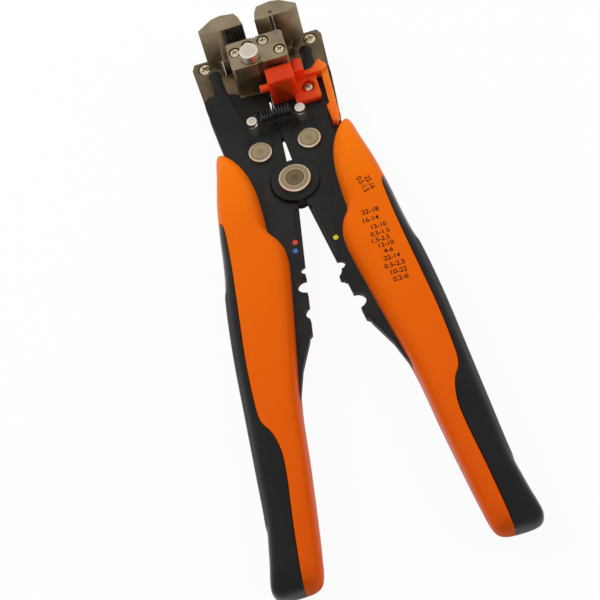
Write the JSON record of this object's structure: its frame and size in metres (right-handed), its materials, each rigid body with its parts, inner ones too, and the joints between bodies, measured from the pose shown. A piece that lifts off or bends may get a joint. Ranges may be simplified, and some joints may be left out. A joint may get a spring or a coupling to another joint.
{
  "type": "automatic wire stripper",
  "caption": "Hand tool with two crossed-over handle levers, twin duckbill jaws that clamp and strip a wire, crimping edges between the handles, a return spring and a stop guard.",
  "frame": {"origin": "main pivot axis where the pivot's flat rear head meets the resting surface", "axes": "+X to the right lever, +Y from the handles to the jaws, +Z out of the front face"},
  "size_m": [0.0818, 0.2038, 0.0303],
  "materials": {
    "steel_black": "satin black oxide",
    "jaw_steel": "sintered steel, warm grey",
    "rivet_steel": "turned steel",
    "bright_steel": "bright turned steel",
    "screw_steel": "pale zinc plate",
    "grip_orange": "satin moulded plastic",
    "grip_black": "soft overmould",
    "spring_black": "black spring wire",
    "lever_steel": "hardened sheet steel",
    "hard_insert": "hardened steel",
    "blade_steel": "ground blade steel",
    "guard_red": "clear-tinted moulded plastic"
  },
  "bodies": {
    "left_lever": {"left_plate": "steel_black", "left_rear_plate": "steel_black", "left_jaw_carrier": "jaw_steel", "left_lower_jaw": "jaw_steel", "left_jaw_screws": "screw_steel", "left_carrier_screw": "screw_steel", "left_hinge_pin": "rivet_steel", "left_lever_pin": "rivet_steel", "left_drive_pin": "rivet_steel", "left_spring_post": "bright_steel", "left_grip": "grip_orange", "left_grip_pad": "grip_black", "left_jaw_spring": "spring_black", "main_pivot": "rivet_steel", "return_spring": "spring_black"},
    "right_lever": {"right_plate": "steel_black", "right_rear_plate": "steel_black", "right_jaw_carrier": "jaw_steel", "right_lower_jaw": "jaw_steel", "right_jaw_screws": "screw_steel", "right_carrier_screw": "screw_steel", "right_hinge_pin": "rivet_steel", "right_lever_pin": "rivet_steel", "right_drive_pin": "rivet_steel", "right_spring_post": "bright_steel", "right_grip": "grip_orange", "right_grip_pad": "grip_black", "right_jaw_spring": "spring_black", "lower_blade": "blade_steel", "stop_guard": "guard_red", "stop_guard_screw": "screw_steel"},
    "left_beak": {"left_upper_jaw": "jaw_steel", "left_jaw_teeth": "hard_insert"},
    "right_beak": {"right_upper_jaw": "jaw_steel", "upper_blade": "blade_steel"},
    "left_cam": {"left_cam_lever": "lever_steel"},
    "right_cam": {"right_cam_lever": "lever_steel"},
    "knob": {"adjuster_knob": "bright_steel"}
  },
  "joints": [
    {"name": "squeeze", "type": "hinge", "parent": "left_lever", "child": "right_lever", "pos_m": [0, 0, 0.0105], "axis": [0, 0, -1], "range_deg": [0, 16.4], "deforming": ["return_spring"]},
    {"name": "left_jaw_close", "type": "hinge", "parent": "left_lever", "child": "left_beak", "pos_m": [-0.008, 0.049, 0.005], "axis": [1, 0, 0], "range_deg": [0, 13.2], "deforming": ["left_jaw_spring"]},
    {"name": "right_jaw_close", "type": "hinge", "parent": "right_lever", "child": "right_beak", "pos_m": [0.008, 0.049, 0.005], "axis": [1, 0, 0], "range_deg": [0, 13.2], "deforming": ["right_jaw_spring"]},
    {"name": "left_cam_swing", "type": "hinge", "parent": "left_lever", "child": "left_cam", "pos_m": [-0.0084, 0.0144, 0.0076], "axis": [0, 0, 1], "range_deg": [0, 9.9]},
    {"name": "right_cam_swing", "type": "hinge", "parent": "right_lever", "child": "right_cam", "pos_m": [0.0084, 0.0144, 0.0076], "axis": [0, 0, -1], "range_deg": [0, 9.9]},
    {"name": "knob_turn", "type": "hinge", "parent": "left_lever", "child": "knob", "pos_m": [-0.00271, 0.04291, 0.0282], "axis": [0, 0, 1], "range_deg": [-180, 180]}
  ],
  "couplings": [
    {"joint": "left_jaw_close", "follows": "squeeze", "ratio": 0.8049},
    {"joint": "right_jaw_close", "follows": "squeeze", "ratio": 0.8049},
    {"joint": "left_cam_swing", "follows": "squeeze", "ratio": 0.5945},
    {"joint": "right_cam_swing", "follows": "squeeze", "ratio": 0.5945}
  ]
}
